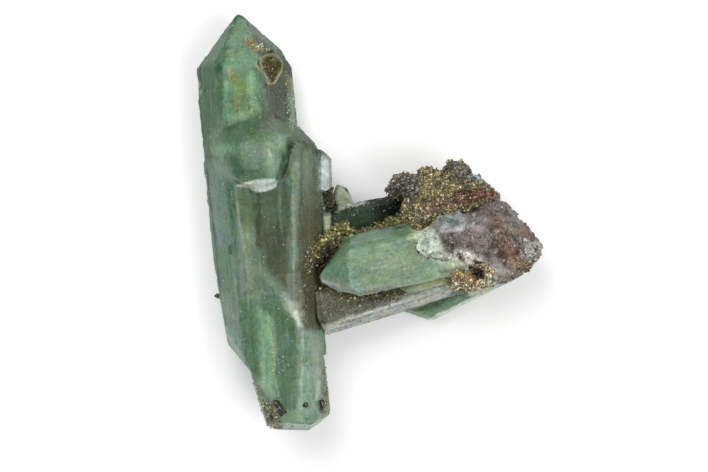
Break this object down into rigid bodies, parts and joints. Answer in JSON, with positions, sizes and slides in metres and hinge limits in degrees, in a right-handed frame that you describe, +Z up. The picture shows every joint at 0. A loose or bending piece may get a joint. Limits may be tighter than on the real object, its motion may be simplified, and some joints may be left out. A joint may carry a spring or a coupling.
{
  "type": "mineral specimen",
  "caption": "Cluster of cloudy green quartz crystals coloured by hedenbergite, on a purple-red quartz matrix with granular yellow-brown crusts, lying on its back.",
  "frame": {"origin": "middle of the cluster's outline seen from above, on the plane that it rests on", "axes": "+Z up, towards the side that shows best; +Y up the tall crystal's length; +X from the tall crystal out to the matrix"},
  "size_m": [0.0466, 0.0566, 0.0149],
  "materials": {
    "green_quartz": "satin",
    "pale_quartz": "satin",
    "dark_green_quartz": "satin",
    "grey_quartz": "satin",
    "blade_quartz": "satin",
    "purple_red_quartz": "rough",
    "garnet_grains": "rough",
    "brown_garnet_grains": "rough",
    "yellow_green_grains": "rough"
  },
  "bodies": {
    "root": {"main_crystals": "green_quartz", "pale_side_crystal": "pale_quartz", "dark_back_crystal": "dark_green_quartz", "lower_grey_crystal": "grey_quartz", "green_blade_crystal": "blade_quartz", "quartz_matrix": "purple_red_quartz", "garnet_crust": "garnet_grains", "lower_garnet_crust": "brown_garnet_grains", "seam_crust": "yellow_green_grains"}
  },
  "joints": []
}
